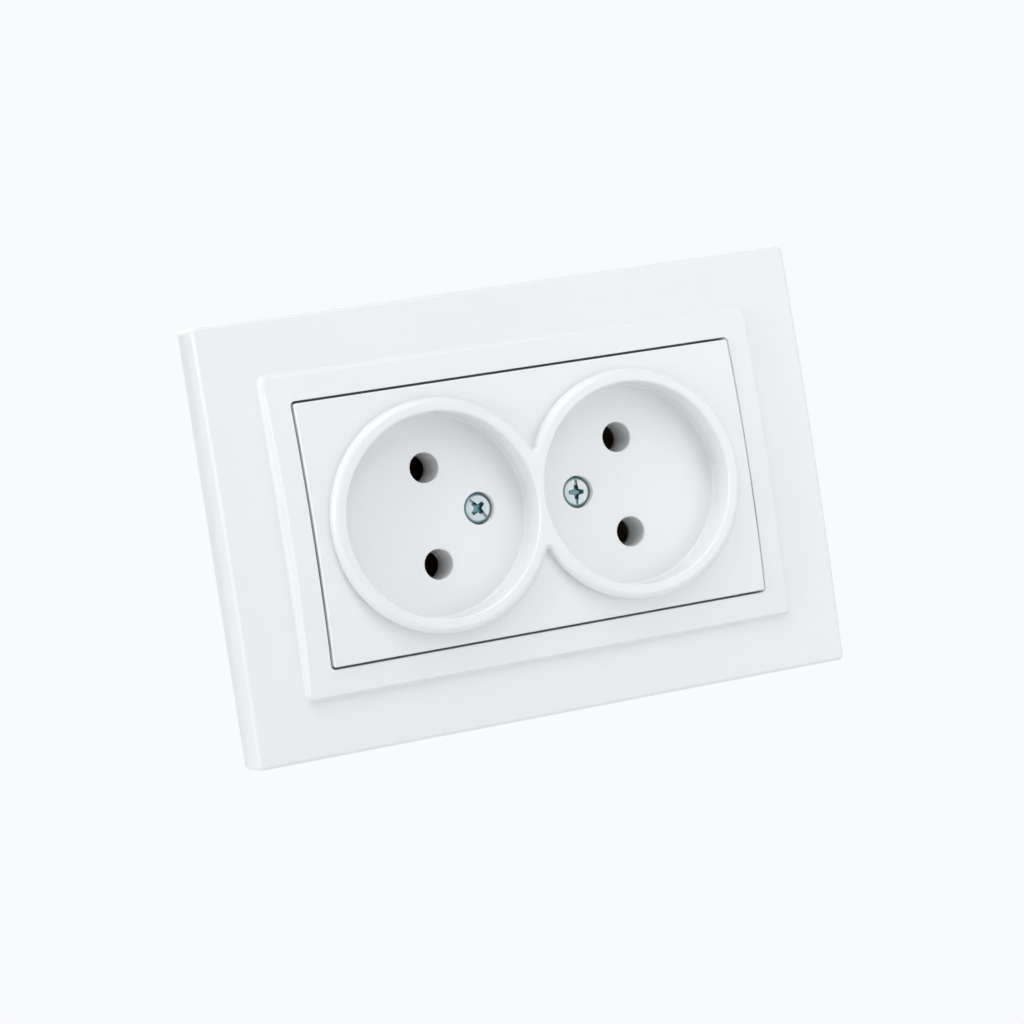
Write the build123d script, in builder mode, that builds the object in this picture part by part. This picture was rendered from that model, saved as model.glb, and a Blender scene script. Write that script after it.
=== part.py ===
# Double wall socket, two pins and no earth, on one mechanism for one round wall box.
# Millimetres. X runs to the viewer's right, Z up, and the front faces -Y.
# The origin is the centre of the wall plane: what stands in the room has y below 0, what stands in
# the box has y above 0. A "stand" is a distance in front of the wall, and a "depth" one behind it.
from build123d import *
from math import sqrt
import os

os.makedirs("parts", exist_ok=True)

# Outer frame
frame_width = 127.5
frame_height = 85.0
frame_edge_stand = 8.0
frame_crown = 1.1
frame_corner_radius = 1.0
frame_edge_radius = 0.8
frame_wall = 2.0
frame_skin = 2.2
rib_thickness = 1.2
rib_stand = 2.0

# Raised border round the frame's window
raised_width = 103.9
raised_height = 61.7
raised_edge_stand = 9.9
raised_dome_radius = 275.0
raised_draft = 14.0
raised_corner_radius = 1.0
raised_top_radius = 0.4
raised_foot_radius = 0.8
ledge_width = 2.25
ledge_stand = 7.0

# Cover with its two wells
cover_width = 93.3
cover_height = 50.9
cover_gap = 0.5
cover_proud = 0.6
cover_corner_radius = 0.5
cover_edge_radius = 0.35
cover_skin = 2.0
well_spacing = 41.7
well_radius = 20.0
well_wall = 2.0
well_depth = 6.7
well_floor_thickness = 2.5
well_rim_radius = 0.5
well_root_radius = 0.6
rim_width = 2.8
rim_edge_radius = 1.3
rim_notch_radius = 0.5
pin_spacing = 19.0
pin_hole_radius = 3.0
pin_hole_chamfer = 0.25
post_length = 3.5
post_wall = 0.8

# Cover screws
cover_screw_spacing = 21.4
cover_screw_radius = 1.5
cover_screw_length = 15.0
cover_screw_head_radius = 3.0
cover_screw_head_height = 1.2
screw_recess_clearance = 0.25
screw_recess_depth = 2.0
screw_hole_clearance = 0.2
thread_clearance = 0.05
cross_width = 0.9
cross_length = 3.4
cross_depth = 0.9

# Contact retainer
retainer_margin = 0.25
retainer_thickness = 1.3
retainer_back_stand = 0.2
retainer_chamfer = 0.4
retainer_clearance = 0.1
retainer_hole_radius = 2.75
retainer_hole_funnel = 0.3
retainer_notch_wall = 1.6
peg_radius = 1.5
peg_length = 1.2
peg_spacing = 32.0

# Mechanism base
flange_width = 78.0
flange_height = 44.0
flange_thickness = 2.0
flange_corner_radius = 6.0
body_radius = 28.5
body_height = 42.0
body_depth = 25.0
body_edge_radius = 1.5
claw_notch_reach = 21.0
claw_notch_height = 8.0
contact_clearance = 0.3
clip_chamber_height = 7.6
rivet_pocket_depth = 0.6
terminal_room = 0.8
wire_hole_radius = 1.5
wire_hole_spacing = 5.6
shank_room = 0.5
screw_post_depth = 11.5

# Mounting plate
plate_width = 71.0
plate_height = 71.0
plate_thickness = 1.0
plate_corner_radius = 5.0
plate_opening_clearance = 0.3
box_screw_spacing = 60.0
box_slot_width = 4.2
box_slot_length = 6.4
base_rivet_radius = 1.5
base_rivet_head_radius = 2.5
base_rivet_head_height = 0.9
base_rivet_spacing_x = 66.0
base_rivet_spacing_z = 34.0
rivet_countersink_radius = 2.1
rivet_countersink_depth = 0.6
rivet_clearance = 0.05
claw_relief_depth = 0.2
claw_relief_clearance = 0.5

# Brass contacts
busbar_thickness = 1.0
busbar_width = 6.0
busbar_depth = 13.6
terminal_spacing = 15.0
tab_width = 8.0
tab_rise = 2.0
tab_bend_radius = 0.9
clip_thickness = 0.6
clip_width = 5.4
clip_web_gap = 3.0
clip_waist_gap = 2.05
clip_mouth_gap = 2.7
clip_waist_depth = 4.0
clip_mouth_depth = 0.5
clip_bend_radius = 0.8
contact_rivet_radius = 0.8
contact_rivet_head_radius = 1.4
contact_rivet_head_height = 0.4

# Terminals
terminal_screw_radius = 1.75
terminal_screw_length = 7.5
terminal_head_radius = 3.0
terminal_head_height = 2.4
clamp_length = 6.8
clamp_width = 7.6
clamp_thickness = 1.0
clamp_lip = 0.6
clamp_seat_gap = 0.05

# Spreader claws
claw_width = 7.0
claw_thickness = 1.5
claw_heel_radius = 1.3
claw_heel_clearance = 0.05
claw_heel_reach = 22.5
claw_heel_depth = 4.6
claw_cradle_width = 0.6
claw_arm_reach = 29.3
claw_arm_depth = 20.0
claw_bend_radius = 2.2
claw_tooth_count = 3
claw_tooth_pitch = 1.6
claw_tooth_depth = 0.6
claw_slot_width = 3.6
claw_slot_length = 4.2
claw_screw_reach = 25.4
claw_screw_radius = 1.5
claw_screw_length = 16.5
claw_screw_head_radius = 2.75
claw_screw_head_height = 2.0
claw_screw_hole_clearance = 0.05
claw_access_radius = 3.4

# Stands and depths that follow, from the plate outwards and from the contacts backwards
frame_dome_radius = ((frame_height / 2) ** 2 + frame_crown**2) / (2 * frame_crown)
frame_crown_stand = frame_edge_stand + frame_crown
raised_crown_stand = (
    raised_edge_stand + raised_dome_radius - sqrt(raised_dome_radius**2 - (raised_height / 2) ** 2)
)
cover_crown_stand = raised_crown_stand + cover_proud
cover_dome_radius = raised_dome_radius + cover_proud
flange_stand = plate_thickness + flange_thickness
retainer_front_stand = retainer_back_stand + retainer_thickness
post_end_stand = retainer_front_stand + retainer_clearance
floor_back_stand = post_end_stand + post_length
well_floor_stand = floor_back_stand + well_floor_thickness
well_rim_stand = well_floor_stand + well_depth
trench_depth = busbar_depth + busbar_thickness
terminal_depth = trench_depth + clamp_length / 2
pocket_length = clamp_length + 2 * terminal_room
pocket_back = terminal_depth + pocket_length / 2

# Widths and heights that follow
window_width = cover_width + 2 * cover_gap
window_height = cover_height + 2 * cover_gap
opening_width = window_width - 2 * ledge_width
opening_height = window_height - 2 * ledge_width
collar_width = opening_width + 2 * frame_wall
collar_height = opening_height + 2 * frame_wall
pin_row = pin_spacing / 2
post_radius = pin_hole_radius + post_wall
retainer_corner_radius = post_radius + retainer_margin
retainer_width = well_spacing + 2 * retainer_corner_radius
retainer_height = pin_spacing + 2 * retainer_corner_radius
trench_width = busbar_width + 2 * contact_clearance
tab_height = pin_row + busbar_width / 2 + tab_rise
shelf_height = tab_height - busbar_thickness
clamp_height = tab_height + clamp_seat_gap + clamp_lip
terminal_seat_height = clamp_height + clamp_thickness + thread_clearance

# Centres in the wall plane
side_names = {-1: "left", 1: "right"}
row_names = {-1: "lower", 1: "upper"}
well_centres = [(side * well_spacing / 2, 0) for side in side_names]
pin_points = [(x, row * pin_row) for x, _ in well_centres for row in row_names]
cover_screw_points = [(side * cover_screw_spacing / 2, 0) for side in side_names]
claw_screw_points = [(side * claw_screw_reach, 0) for side in side_names]
terminal_columns = [side * terminal_spacing / 2 for side in side_names]
screw_recess_radius = cover_screw_head_radius + screw_recess_clearance


def wall_plane(stand):
    """A plane parallel to the wall, in front of it, that faces the room."""
    return Plane.XZ.offset(stand)


def domed_block(width, height, crown_stand, dome_radius):
    """A block on the wall whose front is curved about the X axis."""
    edge_stand = crown_stand - dome_radius + sqrt(dome_radius**2 - (height / 2) ** 2)
    with BuildPart() as block:
        with BuildSketch(Plane.YZ):
            with BuildLine():
                front = ThreePointArc(
                    (-edge_stand, -height / 2), (-crown_stand, 0), (-edge_stand, height / 2)
                )
                Polyline(front @ 1, (0, height / 2), (0, -height / 2), front @ 0)
            make_face()
        extrude(amount=width / 2, both=True)
    return block.part


def body_outline(stand, grow=0.0):
    """The section of what stands in the wall box, notched for the two claws."""
    with BuildSketch(wall_plane(stand)) as outline:
        Circle(body_radius + grow)
        Rectangle(2 * body_radius + 2 * grow, body_height + 2 * grow, mode=Mode.INTERSECT)
        for side in side_names:
            with Locations((side * (claw_notch_reach + grow + body_radius / 2), 0)):
                Rectangle(body_radius, claw_notch_height - 2 * grow, mode=Mode.SUBTRACT)
    return outline.sketch


def retainer_outline(stand, grow=0.0):
    """The contact retainer's outline, notched round the two claw screws."""
    notch_half_height = claw_access_radius + retainer_notch_wall - grow
    notch_reach = claw_screw_reach - claw_access_radius - retainer_notch_wall + grow
    with BuildSketch(wall_plane(stand)) as outline:
        RectangleRounded(
            retainer_width + 2 * grow, retainer_height + 2 * grow, retainer_corner_radius + grow
        )
        for side in side_names:
            with Locations((side * (notch_reach + retainer_width / 2), 0)):
                Rectangle(retainer_width, 2 * notch_half_height, mode=Mode.SUBTRACT)
    return outline.sketch


def bent_strip(points, bend_radius, thickness):
    """The edge view of a metal strip, bent along a line of points on its right-hand face."""
    with BuildSketch(Plane.XY) as strip:
        with BuildLine():
            face_line = FilletPolyline(*points, radius=bend_radius)
            offset(face_line, amount=thickness, side=Side.LEFT)
        make_face()
    return strip.sketch


def screw(seat, head_radius, head_height, shank_radius, shank_length):
    """A screw with a cross recess, whose head lies on the seat plane. The plane faces outwards."""
    outward = Axis(seat.origin, seat.z_dir)
    with BuildPart(seat) as whole:
        Cylinder(head_radius, head_height, align=(Align.CENTER, Align.CENTER, Align.MIN))
        chamfer(whole.edges().group_by(outward)[-1], head_height / 4)
        Cylinder(shank_radius, shank_length, align=(Align.CENTER, Align.CENTER, Align.MAX))
        chamfer(whole.edges().group_by(outward)[0], shank_radius / 4)
        with BuildSketch(seat.offset(head_height)):
            Rectangle(cross_length, cross_width)
            Rectangle(cross_width, cross_length)
        extrude(amount=-cross_depth, mode=Mode.SUBTRACT)
    return whole.part


def finish(piece, name):
    """Label a finished piece and write it."""
    piece.label = name
    export_step(piece, f"parts/{name}.step")


# Raised border: its flanks lean outwards to the foot, and its front is domed like the cover's
with BuildPart() as raised_border:
    with BuildSketch(wall_plane(frame_edge_stand - frame_skin)):
        RectangleRounded(raised_width, raised_height, raised_corner_radius)
    extrude(amount=raised_crown_stand)
    add(
        domed_block(frame_width, frame_height, raised_crown_stand, raised_dome_radius),
        mode=Mode.INTERSECT,
    )
    flanks = raised_border.faces().filter_by(lambda face: abs(face.normal_at().Y) < 0.01)
    draft(flanks, Plane.XZ.offset(raised_edge_stand), raised_draft)
    raised_front = raised_border.faces().filter_by(GeomType.CYLINDER).sort_by(Axis.Y)[0]
    fillet(raised_front.edges(), raised_top_radius)

# The frame is hollow behind its skin, with ribs across the hollow
with BuildPart() as frame_hollow:
    add(
        domed_block(
            frame_width - 2 * frame_wall,
            frame_height - 2 * frame_wall,
            frame_crown_stand - frame_skin,
            frame_dome_radius - frame_skin,
        )
    )
    with BuildSketch(wall_plane(0)):
        Rectangle(collar_width, collar_height)
    extrude(amount=frame_crown_stand, mode=Mode.SUBTRACT)
    with BuildSketch(wall_plane(rib_stand)):
        with GridLocations(collar_width / 3, 0, 4, 1):
            Rectangle(rib_thickness, frame_height)
        with GridLocations(0, collar_height / 2, 1, 3):
            Rectangle(frame_width, rib_thickness)
    extrude(amount=frame_crown_stand, mode=Mode.SUBTRACT)

with BuildPart() as outer_frame:
    add(domed_block(frame_width, frame_height, frame_crown_stand, frame_dome_radius))
    fillet(outer_frame.edges().filter_by(Axis.Y), frame_corner_radius)
    frame_front = outer_frame.faces().filter_by(GeomType.CYLINDER).sort_by(Axis.Y)[0]
    fillet(frame_front.edges(), frame_edge_radius)
    add(raised_border.part)
    border_ground = outer_frame.faces().filter_by(GeomType.CYLINDER).filter_by(
        lambda face: abs(face.radius - frame_dome_radius) < 0.01
    )
    fillet(border_ground[0].inner_wires()[0].edges(), raised_foot_radius)
    add(frame_hollow.part, mode=Mode.SUBTRACT)
    with BuildSketch(wall_plane(ledge_stand)):
        RectangleRounded(window_width, window_height, cover_corner_radius + cover_gap)
    extrude(amount=raised_crown_stand, mode=Mode.SUBTRACT)
    with BuildSketch(wall_plane(0)):
        Rectangle(opening_width, opening_height)
    extrude(amount=ledge_stand, mode=Mode.SUBTRACT)
    with BuildSketch(wall_plane(0)):
        Rectangle(collar_width, collar_height)
    extrude(amount=plate_thickness, mode=Mode.SUBTRACT)
finish(outer_frame.part, "outer_frame")

# One merged rim stands proud of the cover round both wells
with BuildPart() as well_rim:
    with BuildSketch(wall_plane(well_floor_stand)) as rim_outline:
        with Locations(*well_centres):
            Circle(well_radius + rim_width)
        fillet(rim_outline.vertices(), rim_notch_radius)
    extrude(amount=well_depth)
    fillet(well_rim.faces().sort_by(Axis.Y)[0].edges(), rim_edge_radius)

with BuildPart() as cover_hollow:
    with BuildSketch(wall_plane(ledge_stand)):
        Rectangle(cover_width - 2 * cover_skin, cover_height - 2 * cover_skin)
    extrude(amount=cover_crown_stand)
    add(
        domed_block(
            frame_width, frame_height, cover_crown_stand - cover_skin, cover_dome_radius - cover_skin
        ),
        mode=Mode.INTERSECT,
    )

# Cover: a domed shell that rests on the frame's ledge, with the two wells hung in it
with BuildPart() as socket_cover:
    with BuildSketch(wall_plane(ledge_stand)):
        RectangleRounded(cover_width, cover_height, cover_corner_radius)
    extrude(amount=cover_crown_stand)
    add(
        domed_block(frame_width, frame_height, cover_crown_stand, cover_dome_radius),
        mode=Mode.INTERSECT,
    )
    cover_front = socket_cover.faces().filter_by(GeomType.CYLINDER).sort_by(Axis.Y)[0]
    fillet(cover_front.edges(), cover_edge_radius)
    add(cover_hollow.part, mode=Mode.SUBTRACT)
    with BuildSketch(wall_plane(floor_back_stand)):
        with Locations(*well_centres):
            Circle(well_radius + well_wall)
    extrude(amount=cover_crown_stand - cover_skin / 2 - floor_back_stand)
    # Hollow posts behind the floor reach back to the contact retainer
    with BuildSketch(wall_plane(post_end_stand)):
        with Locations(*pin_points):
            Circle(post_radius)
        with Locations(*cover_screw_points):
            Circle(screw_recess_radius + post_wall)
    extrude(amount=post_length)
    add(well_rim.part)
    with BuildSketch(wall_plane(well_floor_stand)):
        with Locations(*well_centres):
            Circle(well_radius)
    extrude(amount=well_rim_stand, mode=Mode.SUBTRACT)
    well_edges = socket_cover.edges().filter_by(GeomType.CIRCLE).filter_by(
        lambda edge: abs(edge.radius - well_radius) < 0.01
    )
    fillet(well_edges.group_by(Axis.Y)[0], well_rim_radius)
    fillet(
        well_edges.filter_by_position(Axis.Y, -well_floor_stand - 0.01, -well_floor_stand + 0.01),
        well_root_radius,
    )
    with Locations(wall_plane(well_floor_stand)):
        with Locations(*pin_points):
            Hole(pin_hole_radius, depth=well_floor_thickness + post_length)
        with Locations(*cover_screw_points):
            CounterBoreHole(
                cover_screw_radius + screw_hole_clearance,
                screw_recess_radius,
                screw_recess_depth,
                depth=well_floor_thickness + post_length,
            )
    floor_edges = socket_cover.edges().filter_by(GeomType.CIRCLE).filter_by_position(
        Axis.Y, -well_floor_stand - 0.01, -well_floor_stand + 0.01
    )
    chamfer(
        floor_edges.filter_by(lambda edge: abs(edge.radius - pin_hole_radius) < 0.01),
        pin_hole_chamfer,
    )
finish(socket_cover.part, "socket_cover")

# Contact retainer: it lies in a pocket of the base and closes the contact chambers
with BuildPart() as contact_retainer:
    extrude(retainer_outline(retainer_back_stand), amount=retainer_thickness)
    chamfer(contact_retainer.faces().sort_by(Axis.Y)[0].edges(), retainer_chamfer)
    with BuildSketch(wall_plane(retainer_back_stand)):
        with GridLocations(peg_spacing, 0, 2, 1):
            Circle(peg_radius)
    extrude(amount=-peg_length)
    with Locations(wall_plane(retainer_front_stand)):
        with Locations(*pin_points):
            CounterSinkHole(
                retainer_hole_radius,
                retainer_hole_radius + retainer_hole_funnel,
                depth=retainer_thickness,
            )
        with Locations(*cover_screw_points):
            Hole(cover_screw_radius + screw_hole_clearance, depth=retainer_thickness)
finish(contact_retainer.part, "contact_retainer")

# Mechanism base: a flange on the plate and a body in the box
with BuildPart() as mechanism_base:
    extrude(body_outline(plate_thickness), amount=-(plate_thickness + body_depth))
    fillet(mechanism_base.faces().sort_by(Axis.Y)[-1].edges(), body_edge_radius)
    with BuildSketch(wall_plane(plate_thickness)):
        RectangleRounded(flange_width, flange_height, flange_corner_radius)
    extrude(amount=flange_thickness)
    extrude(
        retainer_outline(retainer_back_stand, retainer_clearance),
        amount=flange_stand,
        mode=Mode.SUBTRACT,
    )
    for row in row_names:
        # The busbar drops from the front into a trench, with a wider chamber at each clip
        trench_foot = pin_row - trench_width / 2
        bay_head = tab_height + contact_clearance
        with BuildSketch(wall_plane(flange_stand)):
            with Locations((0, row * pin_row)):
                Rectangle(well_spacing + trench_width, trench_width)
            with Locations(*[(x, row * pin_row) for x, _ in well_centres]):
                Rectangle(trench_width, clip_chamber_height)
            with Locations(*[(x, row * (bay_head + trench_foot) / 2) for x in terminal_columns]):
                Rectangle(tab_width + 2 * contact_clearance, bay_head - trench_foot)
        extrude(amount=-(flange_stand + trench_depth), mode=Mode.SUBTRACT)
        with Locations(wall_plane(-trench_depth)):
            with Locations(*[(x, row * pin_row) for x, _ in well_centres]):
                Hole(contact_rivet_head_radius + contact_clearance, depth=rivet_pocket_depth)
        # Each tab lies on a shelf in a pocket that opens outwards, with room below for the screw
        with BuildSketch(Plane.XY.offset(row * shelf_height)):
            with Locations(*[(x, terminal_depth) for x in terminal_columns]):
                Rectangle(tab_width + 2 * contact_clearance, pocket_length)
        extrude(amount=row * body_height, mode=Mode.SUBTRACT)
        with BuildSketch(Plane.XY.offset(row * shelf_height)):
            with Locations(*[(x, trench_depth) for x in terminal_columns]):
                Rectangle(tab_width + 2 * contact_clearance, 2 * (tab_bend_radius + contact_clearance))
        extrude(amount=-row * (tab_bend_radius + contact_clearance), mode=Mode.SUBTRACT)
        with BuildSketch(Plane.XY.offset(row * shelf_height)):
            with Locations(*[(x, terminal_depth) for x in terminal_columns]):
                Circle(terminal_screw_radius + shank_room)
        shank_reach = shelf_height - terminal_seat_height + terminal_screw_length + shank_room
        extrude(amount=-row * shank_reach, mode=Mode.SUBTRACT)
        with BuildSketch(wall_plane(-body_depth)):
            for x in terminal_columns:
                with Locations((x, row * (tab_height + wire_hole_radius))):
                    with GridLocations(wire_hole_spacing, 0, 2, 1):
                        Circle(wire_hole_radius)
        extrude(amount=body_depth - pocket_back, mode=Mode.SUBTRACT)
    for side in side_names:
        # A cradle at the bottom of each notch holds the claw's heel
        cradle_end = claw_heel_reach + claw_cradle_width
        with BuildSketch(Plane.XY):
            with Locations((side * (claw_notch_reach + cradle_end) / 2, claw_heel_depth / 2)):
                Rectangle(cradle_end - claw_notch_reach, claw_heel_depth)
            with Locations((side * claw_heel_reach, claw_heel_depth)):
                Circle(claw_heel_radius + claw_heel_clearance, mode=Mode.SUBTRACT)
        extrude(amount=claw_notch_height / 2, both=True)
    with Locations(wall_plane(flange_stand)):
        with Locations(*cover_screw_points):
            Hole(cover_screw_radius + thread_clearance, depth=flange_stand + screw_post_depth)
        with Locations(*claw_screw_points):
            Hole(claw_access_radius, depth=flange_thickness)
        with GridLocations(base_rivet_spacing_x, base_rivet_spacing_z, 2, 2):
            Hole(base_rivet_radius + rivet_clearance, depth=flange_thickness)
    with Locations(wall_plane(retainer_back_stand)):
        with GridLocations(peg_spacing, 0, 2, 1):
            Hole(peg_radius + retainer_clearance, depth=peg_length + retainer_clearance)
finish(mechanism_base.part, "mechanism_base")

# Mounting plate: stamped steel that lies on the wall under the frame
with BuildPart() as mounting_plate:
    with BuildSketch(wall_plane(0)):
        RectangleRounded(plate_width, plate_height, plate_corner_radius)
        with Locations(*[(0, row * box_screw_spacing / 2) for row in row_names]):
            SlotOverall(box_slot_length, box_slot_width, rotation=90, mode=Mode.SUBTRACT)
    extrude(amount=plate_thickness)
    extrude(body_outline(0, plate_opening_clearance), amount=plate_thickness, mode=Mode.SUBTRACT)
    with Locations(wall_plane(plate_thickness)):
        with Locations(*claw_screw_points):
            Hole(claw_screw_radius + claw_screw_hole_clearance, depth=plate_thickness)
    with Locations(Plane.XZ.reverse()):
        with GridLocations(base_rivet_spacing_x, base_rivet_spacing_z, 2, 2):
            CounterSinkHole(
                base_rivet_radius + rivet_clearance,
                rivet_countersink_radius + rivet_clearance,
                depth=plate_thickness,
                counter_sink_angle=90,
            )
    # The back is coined behind each claw, so that only the plate itself lies on the wall
    relief_reach = claw_arm_reach + claw_relief_clearance
    with BuildSketch(wall_plane(0)):
        Rectangle(2 * relief_reach, claw_width + 2 * claw_relief_clearance)
    extrude(amount=claw_relief_depth, mode=Mode.SUBTRACT)
finish(mounting_plate.part, "mounting_plate")

# Rivets through the flange and the plate, flush behind so that the plate lies on the wall
with BuildPart() as base_rivets:
    with Locations(wall_plane(flange_stand)):
        with GridLocations(base_rivet_spacing_x, base_rivet_spacing_z, 2, 2):
            Cylinder(
                base_rivet_head_radius,
                base_rivet_head_height,
                align=(Align.CENTER, Align.CENTER, Align.MIN),
            )
    chamfer(base_rivets.edges().group_by(Axis.Y)[0], base_rivet_head_height * 0.6)
    with Locations(wall_plane(0)):
        with GridLocations(base_rivet_spacing_x, base_rivet_spacing_z, 2, 2):
            Cylinder(base_rivet_radius, flange_stand, align=(Align.CENTER, Align.CENTER, Align.MIN))
            Cone(
                rivet_countersink_radius,
                base_rivet_radius,
                rivet_countersink_depth,
                align=(Align.CENTER, Align.CENTER, Align.MIN),
            )
finish(base_rivets.part, "base_rivets")

# Busbars: one brass strip for each pole, with two tabs folded back under the terminal screws
tab_profile = bent_strip(
    [
        (trench_depth, pin_row),
        (trench_depth, shelf_height),
        (pocket_back - contact_clearance, shelf_height),
    ],
    tab_bend_radius,
    busbar_thickness,
)
with BuildPart() as busbar_upper:
    with BuildSketch(wall_plane(-trench_depth)):
        with Locations((0, pin_row)):
            RectangleRounded(well_spacing + busbar_width, busbar_width, busbar_width / 4)
    extrude(amount=busbar_thickness)
    for x in terminal_columns:
        with BuildSketch(Plane.YZ.offset(x)):
            add(tab_profile)
        extrude(amount=tab_width / 2, both=True)
    with Locations(wall_plane(-busbar_depth)):
        with Locations(*[(x, pin_row) for x, _ in well_centres]):
            Hole(contact_rivet_radius + rivet_clearance, depth=busbar_thickness)
    with Locations(*[(x, terminal_depth, tab_height) for x in terminal_columns]):
        Hole(terminal_screw_radius + thread_clearance, depth=busbar_thickness)
finish(busbar_upper.part, "busbar_upper")
finish(mirror(busbar_upper.part, about=Plane.XY), "busbar_lower")

# Pin clips: sprung brass strip folded into a U, pinched at a waist and flared at its mouth
clip_mouth = (clip_mouth_depth, clip_mouth_gap + clip_thickness)
clip_waist = (clip_waist_depth, clip_waist_gap + clip_thickness)
clip_corner = (busbar_depth, clip_web_gap + clip_thickness)
clip_profile = bent_strip(
    [
        (clip_mouth[0], -clip_mouth[1]),
        (clip_waist[0], -clip_waist[1]),
        (clip_corner[0], -clip_corner[1]),
        clip_corner,
        clip_waist,
        clip_mouth,
    ],
    clip_bend_radius,
    clip_thickness,
)
for x, z in pin_points:
    with BuildPart() as pin_clip:
        with BuildSketch(Plane.YZ.offset(x).shift_origin((x, 0, z))):
            add(clip_profile)
        extrude(amount=clip_width / 2, both=True)
        with Locations((x, busbar_depth, z)):
            Cylinder(
                contact_rivet_radius + rivet_clearance,
                4 * clip_thickness,
                rotation=(90, 0, 0),
                mode=Mode.SUBTRACT,
            )
    row_name = row_names[1 if z > 0 else -1]
    side_name = side_names[1 if x > 0 else -1]
    finish(pin_clip.part, f"pin_clip_{row_name}_{side_name}")

# Rivets that join the clips to the busbars
with BuildPart() as contact_rivets:
    with Locations(wall_plane(-trench_depth)):
        with Locations(*pin_points):
            Cylinder(
                contact_rivet_radius,
                busbar_thickness + clip_thickness,
                align=(Align.CENTER, Align.CENTER, Align.MIN),
            )
            Cylinder(
                contact_rivet_head_radius,
                contact_rivet_head_height,
                align=(Align.CENTER, Align.CENTER, Align.MAX),
            )
    with Locations(wall_plane(clip_thickness - busbar_depth)):
        with Locations(*pin_points):
            Cylinder(
                contact_rivet_head_radius,
                contact_rivet_head_height,
                align=(Align.CENTER, Align.CENTER, Align.MIN),
            )
finish(contact_rivets.part, "contact_rivets")

# Cover screws: through the cover and the retainer into the base
for side in side_names:
    cover_screw = screw(
        Plane(
            origin=(side * cover_screw_spacing / 2, screw_recess_depth - well_floor_stand, 0),
            x_dir=(1, 0, 0),
            z_dir=(0, -1, 0),
        ),
        cover_screw_head_radius,
        cover_screw_head_height,
        cover_screw_radius,
        cover_screw_length,
    )
    finish(cover_screw, f"cover_screw_{side_names[side]}")

# Terminals: under each screw head a clamp plate, with lips turned towards the tab
for row in row_names:
    for side in side_names:
        x = side * terminal_spacing / 2
        place = f"{row_names[row]}_{side_names[side]}"
        with BuildPart() as terminal_clamp:
            with BuildSketch(Plane.XY.offset(row * clamp_height)):
                with Locations((x, terminal_depth)):
                    RectangleRounded(clamp_width, clamp_length, clamp_thickness)
            extrude(amount=row * clamp_thickness)
            with BuildSketch(Plane.XY.offset(row * clamp_height)):
                with Locations((x, terminal_depth)):
                    with GridLocations(clamp_width - clamp_thickness, 0, 2, 1):
                        Rectangle(clamp_thickness, clamp_length - 2 * clamp_thickness)
            extrude(amount=-row * clamp_lip)
            with Locations((x, terminal_depth, row * clamp_height)):
                Cylinder(
                    terminal_screw_radius + thread_clearance,
                    4 * clamp_thickness,
                    mode=Mode.SUBTRACT,
                )
        finish(terminal_clamp.part, f"terminal_clamp_{place}")
        terminal_screw = screw(
            Plane(
                origin=(x, terminal_depth, row * terminal_seat_height),
                x_dir=(1, 0, 0),
                z_dir=(0, 0, row),
            ),
            terminal_head_radius,
            terminal_head_height,
            terminal_screw_radius,
            terminal_screw_length,
        )
        finish(terminal_screw, f"terminal_screw_{place}")

# Spreader claws: a heel that rocks in the base's cradle, a slotted foot and a toothed arm
foot_front = claw_heel_depth - claw_thickness / 2
claw_profile = bent_strip(
    [
        (claw_heel_reach, foot_front),
        (claw_arm_reach, foot_front),
        (claw_arm_reach, claw_arm_depth),
    ],
    claw_bend_radius,
    claw_thickness,
)
with BuildPart() as claw_right:
    with BuildSketch(Plane.XY):
        add(claw_profile)
        with Locations((claw_heel_reach, claw_heel_depth)):
            Circle(claw_heel_radius)
        for tooth in range(claw_tooth_count):
            tooth_start = claw_arm_depth - (tooth + 1) * claw_tooth_pitch
            with BuildLine():
                Polyline(
                    (claw_arm_reach, tooth_start),
                    (claw_arm_reach - claw_tooth_depth, tooth_start + claw_tooth_depth / 4),
                    (claw_arm_reach, tooth_start + claw_tooth_pitch),
                    close=True,
                )
            make_face(mode=Mode.SUBTRACT)
    extrude(amount=claw_width / 2, both=True)
    with BuildSketch(Plane.XZ):
        with Locations((claw_arm_reach - claw_thickness - claw_slot_length / 2, 0)):
            SlotOverall(claw_slot_length, claw_slot_width)
    extrude(amount=-(claw_heel_depth + claw_thickness), mode=Mode.SUBTRACT)
finish(claw_right.part, "claw_right")
finish(mirror(claw_right.part, about=Plane.YZ), "claw_left")

# Claw screws: their heads lie on the plate, in the holes of the flange
for side in side_names:
    claw_screw = screw(
        Plane(
            origin=(side * claw_screw_reach, -plate_thickness, 0),
            x_dir=(1, 0, 0),
            z_dir=(0, -1, 0),
        ),
        claw_screw_head_radius,
        claw_screw_head_height,
        claw_screw_radius,
        claw_screw_length,
    )
    finish(claw_screw, f"claw_screw_{side_names[side]}")
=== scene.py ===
import bmesh
import bpy
import math
from collections import namedtuple
from mathutils import Matrix, Vector


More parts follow.
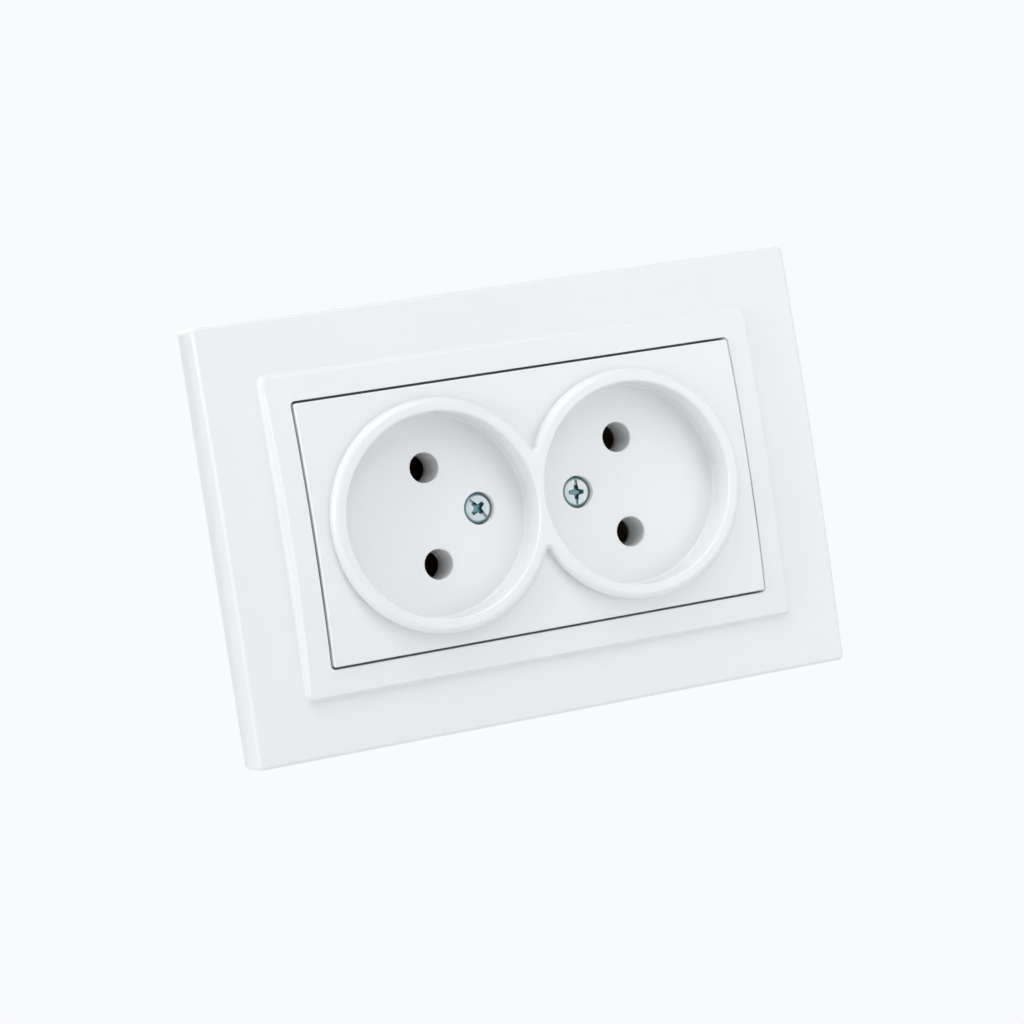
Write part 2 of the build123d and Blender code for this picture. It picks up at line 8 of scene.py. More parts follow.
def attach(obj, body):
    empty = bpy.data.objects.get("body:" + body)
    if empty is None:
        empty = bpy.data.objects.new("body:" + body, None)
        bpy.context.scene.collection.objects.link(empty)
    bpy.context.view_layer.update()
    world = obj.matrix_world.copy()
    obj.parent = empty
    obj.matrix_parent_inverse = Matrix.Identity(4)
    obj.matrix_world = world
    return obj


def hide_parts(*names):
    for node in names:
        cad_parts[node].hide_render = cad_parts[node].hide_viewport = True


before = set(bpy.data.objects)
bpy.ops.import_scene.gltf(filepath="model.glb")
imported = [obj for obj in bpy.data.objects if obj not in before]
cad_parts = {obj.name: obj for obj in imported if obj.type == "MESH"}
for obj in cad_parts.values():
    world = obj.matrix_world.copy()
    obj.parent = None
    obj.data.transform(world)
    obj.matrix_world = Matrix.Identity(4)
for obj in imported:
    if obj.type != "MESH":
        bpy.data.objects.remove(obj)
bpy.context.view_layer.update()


# The studio: a pale floor well below the socket, clear from underneath, a pale surround and five
# soft lamps. The socket hangs upright, and the camera is turned and rolled a little to face it.
MM = 0.001
PAPER = (0.947, 0.956, 0.973, 1.0)


def seen_directly(nodes, links):
    """One where a camera, glossy or transmission ray meets the surface, and nothing elsewhere."""
    path = nodes.new("ShaderNodeLightPath")
    seen = path.outputs["Is Camera Ray"]
    for ray in ("Is Glossy Ray", "Is Transmission Ray"):
        larger = nodes.new("ShaderNodeMath")
        larger.operation = "MAXIMUM"
        links.new(seen, larger.inputs[0])
        links.new(path.outputs[ray], larger.inputs[1])
        seen = larger.outputs[0]
    return seen


def coloured(nodes, kind, colour):
    """A shader of a kind, in a colour."""
    shader = nodes.new(kind)
    shader.inputs["Color"].default_value = colour
    return shader


def mix_of(nodes, links, amount, first, second):
    """The first shader where the amount is nothing, and the second where it is one."""
    mix = nodes.new("ShaderNodeMixShader")
    links.new(amount, mix.inputs["Fac"])
    links.new(first.outputs[0], mix.inputs[1])
    links.new(second.outputs[0], mix.inputs[2])
    return mix


world = bpy.data.worlds.new("studio_surround")
bpy.context.scene.world = world
world.use_nodes = True
nodes, links = world.node_tree.nodes, world.node_tree.links
nodes.clear()
room_light = coloured(nodes, "ShaderNodeBackground", (0.93, 0.97, 1.0, 1.0))
room_light.inputs["Strength"].default_value = 0.505
paper_light = coloured(nodes, "ShaderNodeBackground", PAPER)
paper_light.inputs["Strength"].default_value = 1.0
surround = mix_of(nodes, links, seen_directly(nodes, links), room_light, paper_light)
links.new(surround.outputs[0], nodes.new("ShaderNodeOutputWorld").inputs["Surface"])

floor_reach, floor_height = 6.0, -0.16
floor_mesh = bpy.data.meshes.new("studio_floor")
floor_mesh.from_pydata(
    [(kx * floor_reach, ky * floor_reach, floor_height)
     for kx, ky in ((-1, -1), (1, -1), (1, 1), (-1, 1))],
    [], [(0, 1, 2, 3)],
)
studio_floor = bpy.data.objects.new("studio_floor", floor_mesh)
bpy.context.scene.collection.objects.link(studio_floor)
paper = bpy.data.materials.new("studio_paper")
paper.use_nodes = True
nodes, links = paper.node_tree.nodes, paper.node_tree.links
nodes.clear()
upper_side = mix_of(
    nodes, links, seen_directly(nodes, links),
    coloured(nodes, "ShaderNodeBsdfDiffuse", (0.9, 0.9, 0.9, 1.0)),
    coloured(nodes, "ShaderNodeEmission", PAPER),
)
is_underside = nodes.new("ShaderNodeNewGeometry").outputs["Backfacing"]
clear = nodes.new("ShaderNodeBsdfTransparent")
one_sided = mix_of(nodes, links, is_underside, upper_side, clear)
links.new(one_sided.outputs[0], nodes.new("ShaderNodeOutputMaterial").inputs["Surface"])
floor_mesh.materials.append(paper)

for name, place, aim, width, power in (
    ("lamp_above", (0.1, -0.9, 0.95), (0.0, 0.0, 0.0), 0.7, 4.2),
    ("lamp_top", (-0.3, -0.42, 1.1), (0.0, 0.0, 0.0), 0.35, 2.9),
    ("lamp_left", (-1.25, -0.22, 0.28), (0.0, 0.0, 0.0), 0.5, 5.6),
    ("lamp_right", (0.4, -0.45, 0.0), (0.02, 0.0, 0.0), 0.4, 0.58),
    ("lamp_behind", (0.1, 1.2, 0.7), (0.0, 0.0, 0.0), 0.8, 4.0),
):
    lamp = bpy.data.lights.new(name, "AREA")
    lamp.shape = "SQUARE"
    lamp.size = width
    lamp.energy = power
    stand = bpy.data.objects.new(name, lamp)
    stand.location = place
    stand.rotation_mode = "QUATERNION"
    stand.rotation_quaternion = (Vector(aim) - Vector(place)).to_track_quat("-Z", "Y")
    bpy.context.scene.collection.objects.link(stand)

azimuth, elevation, roll = (math.radians(angle) for angle in (-23.21, 1.59, -8.79))
distance, looked_at = 0.7, Vector((-0.71, 0.0, -2.02)) * MM
focal_px, picture_px, sensor_mm = 3529.1, 1024, 36.0
nearest, farthest = 0.01, 50.0
back = Vector((
    math.sin(azimuth) * math.cos(elevation),
    -math.cos(azimuth) * math.cos(elevation),
    math.sin(elevation),
))
level_right = (-back).cross(Vector((0, 0, 1))).normalized()
level_up = level_right.cross(-back)
right = level_right * math.cos(roll) + level_up * math.sin(roll)
up = -level_right * math.sin(roll) + level_up * math.cos(roll)
lens = bpy.data.cameras.new("camera")
lens.sensor_width = sensor_mm
lens.lens = focal_px / picture_px * sensor_mm
lens.clip_start, lens.clip_end = nearest, farthest
camera = bpy.data.objects.new("camera", lens)
camera.rotation_mode = "QUATERNION"
camera.rotation_quaternion = Matrix((right, up, back)).transposed().to_quaternion()
camera.location = looked_at + back * distance
bpy.context.scene.collection.objects.link(camera)
bpy.context.scene.camera = camera
bpy.context.scene.view_settings.view_transform = "Standard"


# Mounting plate: stamped steel, zinc-plated and passivated blue, which lies on the wall under the
# frame. Its plating has faint warm clouds, and the sheet keeps its fine rolling lines.
def new_finish(name):
    """A material, its node tree, its shader and the object's own coordinates."""
    finish = bpy.data.materials.new(name)
    finish.use_nodes = True
    tree = finish.node_tree
    place = tree.nodes.new("ShaderNodeTexCoord").outputs["Object"]
    return finish, tree, tree.nodes["Principled BSDF"], place


def cloud(tree, place, size, detail=3.0, stretch=(1, 1, 1)):
    """Noise whose patches are about as wide as size, in metres."""
    mapping = tree.nodes.new("ShaderNodeMapping")
    mapping.inputs["Scale"].default_value = stretch
    tree.links.new(place, mapping.inputs["Vector"])
    noise = tree.nodes.new("ShaderNodeTexNoise")
    noise.inputs["Scale"].default_value = 1 / size
    noise.inputs["Detail"].default_value = detail
    tree.links.new(mapping.outputs["Vector"], noise.inputs["Vector"])
    return noise.outputs["Fac"]


def colour_by(tree, shader, amount, *stops):
    """Colour the shader along an amount, where each stop is a position and its colour."""
    ramp = tree.nodes.new("ShaderNodeValToRGB")
    elements = ramp.color_ramp.elements
    elements[0].position, elements[0].color = stops[0]
    elements[1].position, elements[1].color = stops[-1]
    for position, colour in stops[1:-1]:
        elements.new(position).color = colour
    tree.links.new(amount, ramp.inputs["Fac"])
    tree.links.new(ramp.outputs["Color"], shader.inputs["Base Color"])


def shine_by(tree, shader, amount, smoothest, roughest):
    """Lay the roughness out along noise, most of which lies between its low and high."""
    noise_low, noise_high = 0.3, 0.7
    lay = tree.nodes.new("ShaderNodeMapRange")
    lay.inputs["From Min"].default_value = noise_low
    lay.inputs["From Max"].default_value = noise_high
    lay.inputs["To Min"].default_value = smoothest
    lay.inputs["To Max"].default_value = roughest
    tree.links.new(amount, lay.inputs["Value"])
    tree.links.new(lay.outputs["Result"], shader.inputs["Roughness"])


def relief_by(tree, shader, height, depth):
    """Give the surface relief of a depth in metres."""
    bump = tree.nodes.new("ShaderNodeBump")
    bump.inputs["Distance"].default_value = depth
    tree.links.new(height, bump.inputs["Height"])
    tree.links.new(bump.outputs["Normal"], shader.inputs["Normal"])


def zinc_plated(name, cool, warm, grain, roughest):
    """Zinc plating over steel: a cool metal with warm clouds and fine lines along the sheet."""
    finish, tree, shader, place = new_finish(name)
    clouds = cloud(tree, place, size=9 * MM, detail=4.0)
    colour_by(tree, shader, clouds, (0.32, cool), (0.55, cool), (0.74, warm))
    shader.inputs["Metallic"].default_value = 1.0
    lines = cloud(tree, place, size=0.35 * MM, detail=2.0, stretch=grain)
    shine_by(tree, shader, lines, smoothest=roughest - 0.16, roughest=roughest)
    relief_by(tree, shader, lines, depth=0.012 * MM)
    return finish


def dress(node, finish):
    """Give a piece of the frame its finish."""
    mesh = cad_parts[node].data
    mesh.materials.clear()
    mesh.materials.append(finish)


dress("mounting_plate", zinc_plated(
    "plate_zinc", cool=(0.60, 0.63, 0.66, 1), warm=(0.64, 0.63, 0.56, 1),
    grain=(0.08, 1, 1), roughest=0.46,
))


# Mechanism base: black phenolic, moulded in one with its flange, post holes and terminal pockets.
# The moulding is slightly matt, with a fine speckle of its filler, and is riveted to the plate.
base_phenolic, tree, shader, place = new_finish("base_phenolic")
speckle = cloud(tree, place, size=0.5 * MM)
colour_by(
    tree, shader, speckle,
    (0.35, (0.010, 0.010, 0.011, 1)),
    (0.6, (0.017, 0.017, 0.018, 1)),
    (0.78, (0.040, 0.038, 0.036, 1)),
)
flow = cloud(tree, place, size=14 * MM, detail=2.0)
shine_by(tree, shader, flow, smoothest=0.38, roughest=0.52)
relief_by(tree, shader, speckle, depth=0.01 * MM)
dress("mechanism_base", base_phenolic)


# Rivets of the flange: four plated steel rivets, headed over the flange of the base and the plate.
# The heading wears their plating, so they are a little darker and warmer than the zinc round them.
dress("base_rivets", zinc_plated(
    "rivet_steel", cool=(0.50, 0.51, 0.52, 1), warm=(0.44, 0.42, 0.40, 1),
    grain=(1, 1, 1), roughest=0.42,
))


# Spreader claws: bent from sheet steel, with teeth cut in the edge of the arm, and zinc-plated.
# Each hangs behind the plate on its screw, which swings it out into the wall box.
claw_zinc = zinc_plated(
    "claw_zinc", cool=(0.58, 0.61, 0.64, 1), warm=(0.70, 0.62, 0.42, 1),
    grain=(1, 0.1, 1), roughest=0.48,
)
for side in ("left", "right"):
    dress(f"claw_{side}", claw_zinc)


# Claw screws: steel, cold-headed with a cross and a slot, their threads rolled, and zinc-plated.
# They are long and slim, and each holds its claw behind the plate and swings it out.
# Here a turned blank gets its thread wound round it, and the same tree sets it in its place.
ScrewSize = namedtuple("ScrewSize", "head_radius head_height root_radius crest_radius pitch length")
TO_ROOM = (math.radians(90), 0.0, 0.0)


def cut_recess(work, top, head_radius, painted_shade):
    """Cut a cross with tapered arms and a shallower slot into a flat head, give its faces painted
    shade, and return its rim.
    """
    arm, root, end, cross_depth = 1.6 * MM, 0.56 * MM, 0.34 * MM, 0.9 * MM
    arm_taper, side_taper = 0.62, 0.7
    slot_half, slot_depth, slot_end = 0.3 * MM, 0.36 * MM, head_radius - 0.58 * MM
    sill = arm - arm * (1 - arm_taper) * slot_depth / cross_depth
    # Painted shade on the recess faces: full in the cross, less in the slot.
    cross_shade, slot_shade = 1.0, 0.6

    def wall(*corners, shade=cross_shade):
        work.faces.new(corners)[painted_shade] = shade

    arms = []
    for c, s in ((1, 0), (0, 1), (-1, 0), (0, -1)):
        places = {
            "root": (root, root, 0.0), "right": (end, arm, 0.0), "left": (-end, arm, 0.0),
            "low_root": (root * side_taper, root * side_taper, cross_depth),
            "low_right": (end * side_taper, arm * arm_taper, cross_depth),
            "low_left": (-end * side_taper, arm * arm_taper, cross_depth),
        }
        if c:
            for name, k in (("right", 1), ("left", -1)):
                places[f"slot_{name}"] = (k * slot_half, arm, 0.0)
                places[f"far_{name}"] = (k * slot_half, slot_end, 0.0)
                places[f"sill_{name}"] = (k * slot_half, sill, slot_depth)
                places[f"low_far_{name}"] = (k * slot_half, slot_end, slot_depth)
        arms.append({
            name: work.verts.new((x * c - y * s, x * s + y * c, top - depth))
            for name, (x, y, depth) in places.items()
        })
    rim = []
    for here, after in zip(arms, arms[1:] + arms[:1]):
        wall(here["root"], here["right"], here["low_right"], here["low_root"])
        wall(here["left"], after["root"], after["low_root"], here["low_left"])
        rim += [here["root"], here["right"]]
        tip = [here["low_left"], here["low_right"], here["right"], here["left"]]
        if "far_right" in here:
            slot = [here[name] for name in ("slot_right", "far_right", "far_left", "slot_left")]
            low = [
                here[name] for name in ("sill_right", "low_far_right", "low_far_left", "sill_left")
            ]
            wall(*low, shade=slot_shade)
            for i in range(len(slot) - 1):
                wall(slot[i], slot[i + 1], low[i + 1], low[i], shade=slot_shade)
            tip[3:3] = [slot[0], low[0], low[3], slot[3]]
            rim += slot
        wall(*tip)
        rim.append(here["left"])
    wall(*[here[name] for here in arms for name in ("low_root", "low_right", "low_left")])
    return rim


def screw_blank(name, size):
    """Head and unthreaded shank, with the seat at the origin and the head towards +Z."""
    # The shoulder and side of the head get painted shade, which draws a dark ring round the head.
    shoulder, shoulder_steps, shoulder_shade = 0.52 * MM, 5, 0.85
    chamfer, tip, sides, crease = 0.08 * MM, size.root_radius * 0.35, 48, math.radians(32)
    profile = []
    for step in range(shoulder_steps + 1):
        bend = math.radians(90 * (1 - step / shoulder_steps))
        profile.append((
            size.head_radius - shoulder + shoulder * math.cos(bend),
            size.head_height - shoulder + shoulder * math.sin(bend),
        ))
    profile += [
        (size.head_radius, chamfer), (size.head_radius - chamfer, 0.0), (size.root_radius, 0.0),
        (size.root_radius, tip - size.length), (size.root_radius - tip, -size.length),
    ]
    work = bmesh.new()
    # Each face's share of painted shade, which the screw's material reads.
    painted_shade = work.faces.layers.float.new("recess")
    rings = []
    for radius, height in profile:
        turns = [2 * math.pi * i / sides for i in range(sides)]
        rings.append([
            work.verts.new((radius * math.cos(turn), radius * math.sin(turn), height))
            for turn in turns
        ])
    for band, (above, below) in enumerate(zip(rings, rings[1:])):
        for i in range(sides):
            j = (i + 1) % sides
            face = work.faces.new((above[i], below[i], below[j], above[j]))
            face[painted_shade] = shoulder_shade if band <= shoulder_steps else 0.0
    work.faces.new(rings[-1][::-1])
    edges = []
    for loop in (rings[0], cut_recess(work, size.head_height, size.head_radius, painted_shade)):
        for pair in zip(loop, loop[1:] + loop[:1]):
            edges.append(work.edges.get(pair) or work.edges.new(pair))
    bmesh.ops.triangle_fill(work, use_beauty=True, edges=edges, normal=(0, 0, 1))
    bmesh.ops.recalc_face_normals(work, faces=work.faces)
    mesh = bpy.data.meshes.new(name)
    work.to_mesh(mesh)
    work.free()
    mesh.shade_smooth()
    mesh.set_sharp_from_angle(angle=crease)
    blank = bpy.data.objects.new(name, mesh)
    bpy.context.scene.collection.objects.link(blank)
    return blank


def thread_tree():
    """Winds a thread round a blank, sets the screws in a line and turns them to their seats."""
    tree = bpy.data.node_groups.new("wound_thread", "GeometryNodeTree")
    for kind, names in (
        ("Geometry", ("Blank",)),
        ("Float", ("Root Radius", "Crest Radius", "Pitch", "Length")),
        ("Int", ("Count",)),
        ("Vector", ("First Seat", "Step", "Facing")),
        ("Float", ("Spin", "Spin Step")),
        ("Material", ("Finish",)),
    ):
        for name in names:
            tree.interface.new_socket(name, in_out="INPUT", socket_type=f"NodeSocket{kind}")
    tree.interface.new_socket("Screws", in_out="OUTPUT", socket_type="NodeSocketGeometry")
    nodes, links = tree.nodes, tree.links
    given = nodes.new("NodeGroupInput").outputs

    def reckon(operation, *values):
        node = nodes.new("ShaderNodeMath")
        node.operation = operation
        for value, socket in zip(values, node.inputs):
            if isinstance(value, (int, float)):
                socket.default_value = value
            else:
                links.new(value, socket)
        return node.outputs[0]

    # The ridge starts one pitch above the tip and stops a little more than one below the head
    bare_pitches, steps_per_turn, ridge_sides = 2.2, 28, 6
    ridge = reckon(
        "MULTIPLY", reckon("SUBTRACT", given["Crest Radius"], given["Root Radius"]), 0.5,
    )
    middle = reckon("ADD", given["Root Radius"], ridge)
    bare = reckon("MULTIPLY", given["Pitch"], bare_pitches)
    wound = reckon("SUBTRACT", given["Length"], bare)
    start = reckon("MULTIPLY", reckon("SUBTRACT", given["Length"], given["Pitch"]), -1.0)
    spiral = nodes.new("GeometryNodeCurveSpiral")
    spiral.inputs["Resolution"].default_value = steps_per_turn
    links.new(reckon("DIVIDE", wound, given["Pitch"]), spiral.inputs["Rotations"])
    links.new(middle, spiral.inputs["Start Radius"])
    links.new(middle, spiral.inputs["End Radius"])
    links.new(wound, spiral.inputs["Height"])
    section = nodes.new("GeometryNodeCurvePrimitiveCircle")
    section.inputs["Resolution"].default_value = ridge_sides
    links.new(ridge, section.inputs["Radius"])
    sweep = nodes.new("GeometryNodeCurveToMesh")
    sweep.inputs["Fill Caps"].default_value = True
    links.new(spiral.outputs[0], sweep.inputs["Curve"])
    links.new(section.outputs["Curve"], sweep.inputs["Profile Curve"])
    drop = nodes.new("ShaderNodeCombineXYZ")
    links.new(start, drop.inputs["Z"])
    lower = nodes.new("GeometryNodeTransform")
    links.new(drop.outputs[0], lower.inputs["Translation"])
    links.new(sweep.outputs[0], lower.inputs["Geometry"])
    whole = nodes.new("GeometryNodeJoinGeometry")
    links.new(given["Blank"], whole.inputs[0])
    links.new(lower.outputs[0], whole.inputs[0])

    row = nodes.new("GeometryNodeMeshLine")
    links.new(given["Count"], row.inputs["Count"])
    links.new(given["First Seat"], row.inputs["Start Location"])
    links.new(given["Step"], row.inputs["Offset"])
    index = nodes.new("GeometryNodeInputIndex").outputs[0]
    further = reckon("MULTIPLY", index, given["Spin Step"])
    turned = nodes.new("ShaderNodeCombineXYZ")
    links.new(reckon("ADD", further, given["Spin"]), turned.inputs["Z"])
    seated = nodes.new("GeometryNodeInstanceOnPoints")
    links.new(row.outputs["Mesh"], seated.inputs["Points"])
    links.new(whole.outputs[0], seated.inputs["Instance"])
    faced = nodes.new("GeometryNodeRotateInstances")
    links.new(seated.outputs[0], faced.inputs["Instances"])
    links.new(given["Facing"], faced.inputs["Rotation"])
    spun = nodes.new("GeometryNodeRotateInstances")
    links.new(faced.outputs[0], spun.inputs["Instances"])
    links.new(turned.outputs[0], spun.inputs["Rotation"])
    real = nodes.new("GeometryNodeRealizeInstances")
    links.new(spun.outputs[0], real.inputs[0])
    plate = nodes.new("GeometryNodeSetMaterial")
    links.new(real.outputs[0], plate.inputs["Geometry"])
    links.new(given["Finish"], plate.inputs["Material"])
    links.new(plate.outputs[0], nodes.new("NodeGroupOutput").inputs[0])
    return tree


def screw_plating():
    """Zinc plating, mixed towards a dark blue-green as painted shade in the cross, the slot and
    round the shoulder of the head.
    """
    finish = zinc_plated(
        "screw_zinc", cool=(0.47, 0.53, 0.54, 1), warm=(0.53, 0.54, 0.49, 1),
        grain=(1, 1, 0.3), roughest=0.46,
    )
    nodes, links = finish.node_tree.nodes, finish.node_tree.links
    base_colour = nodes["Principled BSDF"].inputs["Base Color"]
    plated = base_colour.links[0].from_socket
    # Painted shade: each face's recess value mixes the plating towards the dark blue-green below.
    painted_shade = nodes.new("ShaderNodeAttribute")
    painted_shade.attribute_name = "recess"
    shade_mix = nodes.new("ShaderNodeMix")
    shade_mix.data_type = "RGBA"
    links.new(painted_shade.outputs["Fac"], shade_mix.inputs["Factor"])
    links.new(plated, shade_mix.inputs["A"])
    shade_mix.inputs["B"].default_value = (0.13, 0.24, 0.27, 1)
    links.new(shade_mix.outputs["Result"], base_colour)
    return finish


screw_zinc = screw_plating()
wound_thread = thread_tree()


def set_screws(name, size, seats, facing, spins, body, stood_for):
    """Thread a blank, set a copy in each seat and hand the result over as one plain mesh."""
    blank = screw_blank(f"{name}_blank", size)
    tool = blank.modifiers.new("thread", "NODES")
    tool.node_group = wound_thread
    weights = blank.modifiers.new("flat_faces_stay_flat", "WEIGHTED_NORMAL")
    weights.keep_sharp = True
    step = tuple(last - first for first, last in zip(seats[0], seats[-1]))
    identifiers = {
        item.name: item.identifier
        for item in wound_thread.interface.items_tree if item.in_out == "INPUT"
    }
    for label, value in (
        ("Root Radius", size.root_radius), ("Crest Radius", size.crest_radius),
        ("Pitch", size.pitch), ("Length", size.length),
        ("Count", len(seats)), ("First Seat", seats[0]), ("Step", step), ("Facing", facing),
        ("Spin", math.radians(spins[0])), ("Spin Step", math.radians(spins[-1] - spins[0])),
        ("Finish", screw_zinc),
    ):
        tool[identifiers[label]] = value
    seen = bpy.context.evaluated_depsgraph_get()
    mesh = bpy.data.meshes.new_from_object(blank.evaluated_get(seen), depsgraph=seen)
    bpy.data.objects.remove(blank)
    mesh.name = name
    mesh.materials.clear()
    mesh.materials.append(screw_zinc)
    screws = bpy.data.objects.new(name, mesh)
    bpy.context.scene.collection.objects.link(screws)
    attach(screws, body)
    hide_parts(*stood_for)


claw_screw = ScrewSize(
    head_radius=2.75 * MM, head_height=2.0 * MM,
    root_radius=1.22 * MM, crest_radius=1.5 * MM, pitch=0.5 * MM, length=16.5 * MM,
)
claw_screw_reach, plate_thickness = 25.4 * MM, 1.0 * MM
for side, k, spin in (("left", -1, -10), ("right", 1, 50)):
    set_screws(
        f"claw_screw_{side}_threaded", claw_screw,
        seats=[(k * claw_screw_reach, -plate_thickness, 0.0)], facing=TO_ROOM, spins=[spin],
        body=f"claw_screw_{side}", stood_for=[f"claw_screw_{side}"],
    )


# Busbars, contact clips and their rivets: brass strip, rolled bright and a little tarnished.
# One busbar joins the two clips of a pole, and a rivet holds each clip to it.
def rolled_brass(name, bright, dull, along, roughest):
    """Brass strip with dull patches and fine lines along its rolling."""
    finish, tree, shader, place = new_finish(name)
    tarnish = cloud(tree, place, size=5 * MM, detail=5.0)
    colour_by(tree, shader, tarnish, (0.36, bright), (0.56, bright), (0.78, dull))
    shader.inputs["Metallic"].default_value = 1.0
    lines = cloud(tree, place, size=0.3 * MM, detail=2.0, stretch=along)
    shine_by(tree, shader, lines, smoothest=roughest - 0.18, roughest=roughest)
    relief_by(tree, shader, lines, depth=0.01 * MM)
    return finish


busbar_brass = rolled_brass(
    "busbar_brass", bright=(0.70, 0.47, 0.17, 1), dull=(0.36, 0.21, 0.08, 1),
    along=(0.08, 1, 1), roughest=0.42,
)
clip_brass = rolled_brass(
    "clip_brass", bright=(0.90, 0.66, 0.28, 1), dull=(0.62, 0.41, 0.16, 1),
    along=(1, 0.1, 1), roughest=0.40,
)
dress("contact_rivets", clip_brass)
for row in ("upper", "lower"):
    dress(f"busbar_{row}", busbar_brass)
    for side in ("left", "right"):
        dress(f"pin_clip_{row}_{side}", clip_brass)


# Terminal clamps: small square plates of plated steel that press the wires on to the brass.
# Each rides on its own screw in a pocket of the base, which opens upwards or downwards, and the
# wire comes in through a hole in the base's rear.
clamp_zinc = zinc_plated(
    "clamp_zinc", cool=(0.58, 0.61, 0.65, 1), warm=(0.64, 0.60, 0.50, 1),
    grain=(1, 0.2, 1), roughest=0.44,
)
for row in ("upper", "lower"):
    for side in ("left", "right"):
        dress(f"terminal_clamp_{row}_{side}", clamp_zinc)


# Terminal screws: plated steel, with tall heads that stand in the open pockets, above and below.
# Each goes through its clamp into the tapped tab of the busbar, and takes the clamp up and down.
terminal_screw = ScrewSize(
    head_radius=3.0 * MM, head_height=2.4 * MM,
    root_radius=1.42 * MM, crest_radius=1.75 * MM, pitch=0.6 * MM, length=7.5 * MM,
)
terminal_reach, terminal_depth, terminal_seat = 7.5 * MM, 18.0 * MM, 16.2 * MM
UPWARDS, DOWNWARDS = (0.0, 0.0, 0.0), (math.radians(180), 0.0, 0.0)
for row, kr, facing, row_spin in (("upper", 1, UPWARDS, 50), ("lower", -1, DOWNWARDS, 30)):
    for side, k, side_spin in (("left", -1, -25), ("right", 1, 25)):
        set_screws(
            f"terminal_screw_{row}_{side}_threaded", terminal_screw,
            seats=[(k * terminal_reach, terminal_depth, kr * terminal_seat)],
            facing=facing, spins=[row_spin + side_spin],
            body=f"terminal_screw_{row}_{side}", stood_for=[f"terminal_screw_{row}_{side}"],
        )


# Contact retainer: a light grey moulding behind the cover, seen as a second ring in the pin holes.
# It lies in a pocket of the base and keeps the brass parts in their chambers.
retainer_grey, tree, shader, place = new_finish("retainer_grey")
shade = cloud(tree, place, size=6 * MM)
colour_by(tree, shader, shade, (0.3, (0.40, 0.41, 0.42, 1)), (0.7, (0.46, 0.47, 0.48, 1)))
shine_by(tree, shader, shade, smoothest=0.45, roughest=0.58)
relief_by(tree, shader, cloud(tree, place, size=0.3 * MM), depth=0.006 * MM)
dress("contact_retainer", retainer_grey)


# Outer frame and cover: white mouldings with a soft shine, each made in one shot in a polished
# tool. The white is a little cool and hardly varies, and the shine breaks up where the tool is
# worn. The cover's screws hold the cover to the base, and the cover keeps the frame on the wall.
def moulded_white(name, roughest):
    """A cool white that drifts a little, with a soft and slightly uneven shine."""
    finish, tree, shader, place = new_finish(name)
    drift = cloud(tree, place, size=30 * MM, detail=2.0)
    shaded, white = (0.785, 0.799, 0.803, 1), (0.797, 0.811, 0.814, 1)
    colour_by(tree, shader, drift, (0.3, shaded), (0.7, white))
    polish = cloud(tree, place, size=12 * MM, detail=1.0)
    shine_by(tree, shader, polish, smoothest=roughest - 0.05, roughest=roughest)
    shader.inputs["IOR"].default_value = 1.49
    relief_by(tree, shader, cloud(tree, place, size=6 * MM, detail=0.0), depth=0.003 * MM)
    return finish


def dome_of(stand, radius):
    """A front that is curved about the X axis: its place and its normal at a height z."""
    def front(z):
        lean = math.asin(z / radius)
        place = -(stand - radius + radius * math.cos(lean))
        return place, Vector((0, -math.cos(lean), math.sin(lean)))
    return front


def flat_of(stand):
    """A flat front: its place and its normal, at any height z."""
    return lambda z: (-stand, Vector((0, -1, 0)))


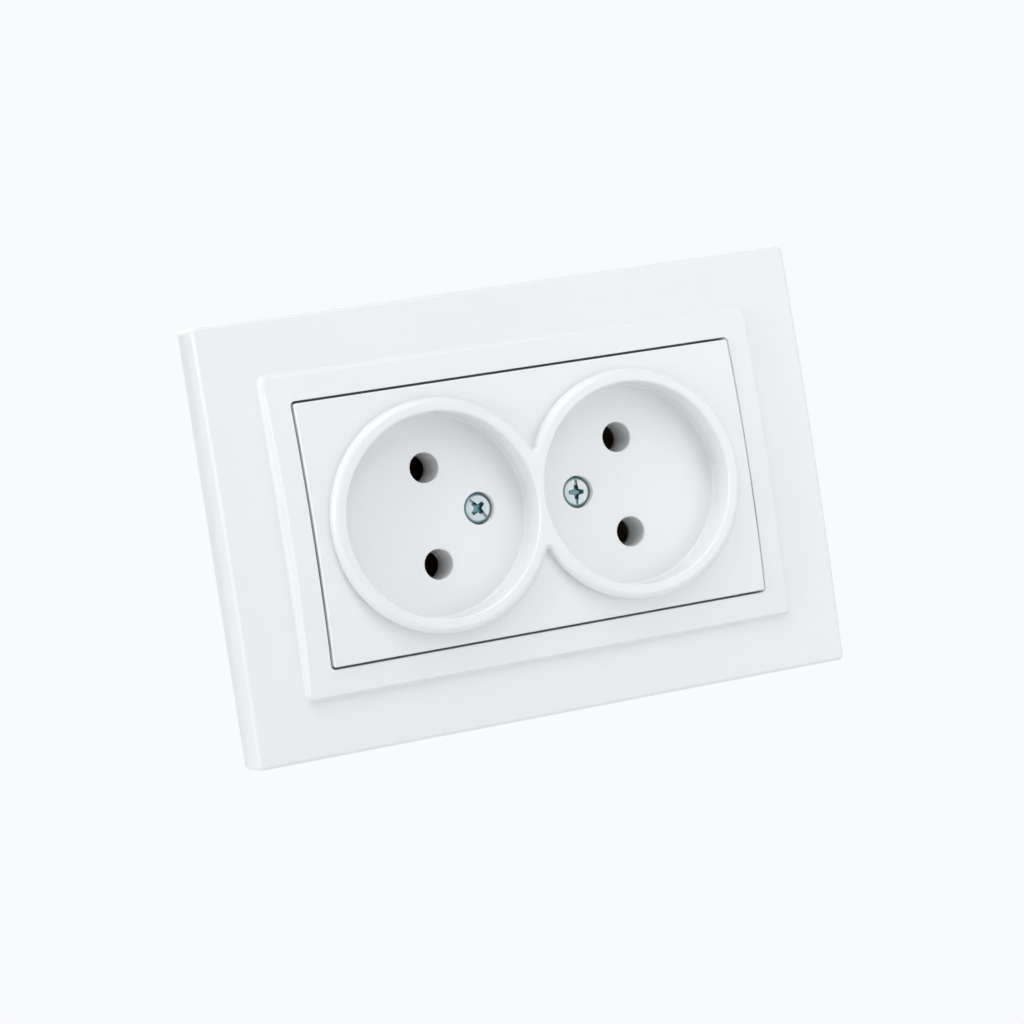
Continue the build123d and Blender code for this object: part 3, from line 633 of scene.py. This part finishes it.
def moulding_of(node, fronts):
    """A copy of a moulding with its triangles joined, and its fronts shaded as true surfaces."""
    join_within, on_front, faces_front = 0.0005 * MM, 0.01 * MM, 0.995
    crease = math.radians(32)
    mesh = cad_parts[node].data.copy()
    mesh.name = f"{node}_moulding"
    work = bmesh.new()
    work.from_mesh(mesh)
    bmesh.ops.remove_doubles(work, verts=work.verts, dist=join_within)
    work.to_mesh(mesh)
    work.free()
    mesh.shade_smooth()
    mesh.set_sharp_from_angle(angle=crease)
    moulding = bpy.data.objects.new(mesh.name, mesh)
    bpy.context.scene.collection.objects.link(moulding)
    weights = moulding.modifiers.new("flat_faces_stay_flat", "WEIGHTED_NORMAL")
    weights.keep_sharp = True
    seen = bpy.context.evaluated_depsgraph_get()
    smooth = bpy.data.meshes.new_from_object(moulding.evaluated_get(seen), depsgraph=seen)
    moulding.modifiers.clear()
    normals = [Vector(corner.vector) for corner in smooth.corner_normals]
    for face in smooth.polygons:
        for corner in face.loop_indices:
            point = smooth.vertices[smooth.loops[corner].vertex_index].co
            for front in fronts:
                place, normal = front(point.z)
                facing = face.normal.dot(normal)
                if abs(point.y - place) < on_front and abs(facing) > faces_front:
                    normals[corner] = normal if facing > 0 else -normal
    smooth.normals_split_custom_set(normals)
    moulding.data = smooth
    return moulding


frame_half_height, frame_crown, frame_stand, frame_skin = 42.5 * MM, 1.1 * MM, 9.1 * MM, 2.2 * MM
frame_curve = (frame_half_height ** 2 + frame_crown ** 2) / (2 * frame_crown)
border_curve, border_half_height, border_edge_stand = 275.0 * MM, 30.85 * MM, 9.9 * MM
border_drop = border_curve - math.sqrt(border_curve ** 2 - border_half_height ** 2)
border_stand = border_edge_stand + border_drop
cover_proud, cover_skin, well_floor_stand = 0.6 * MM, 2.0 * MM, 7.6 * MM
cover_stand, cover_curve = border_stand + cover_proud, border_curve + cover_proud
for node, finish, slot, fronts in (
    ("outer_frame", moulded_white("frame_white", roughest=0.36), "frame_plastic", [
        dome_of(frame_stand, frame_curve),
        dome_of(frame_stand - frame_skin, frame_curve - frame_skin),
        dome_of(border_stand, border_curve),
    ]),
    ("socket_cover", moulded_white("cover_white", roughest=0.27), "cover_plastic", [
        dome_of(cover_stand, cover_curve),
        dome_of(cover_stand - cover_skin, cover_curve - cover_skin),
        flat_of(well_floor_stand),
    ]),
):
    moulding = moulding_of(node, fronts)
    moulding.data.materials.clear()
    moulding.data.materials.append(finish)
    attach(moulding, "socket")
    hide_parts(node)


# Cover screws: plated steel, with low heads sunk in the floors of the two wells.
# They hold the cover to the mechanism base, through the cover's hollow posts.
cover_screw = ScrewSize(
    head_radius=3.0 * MM, head_height=1.2 * MM,
    root_radius=1.22 * MM, crest_radius=1.5 * MM, pitch=0.5 * MM, length=15.0 * MM,
)
cover_screw_reach, cover_screw_seat = 10.7 * MM, -5.6 * MM
set_screws(
    "cover_screws", cover_screw,
    seats=[(k * cover_screw_reach, cover_screw_seat, 0.0) for k in (-1, 1)],
    facing=TO_ROOM, spins=[38, -5],
    body="socket", stood_for=["cover_screw_left", "cover_screw_right"],
)
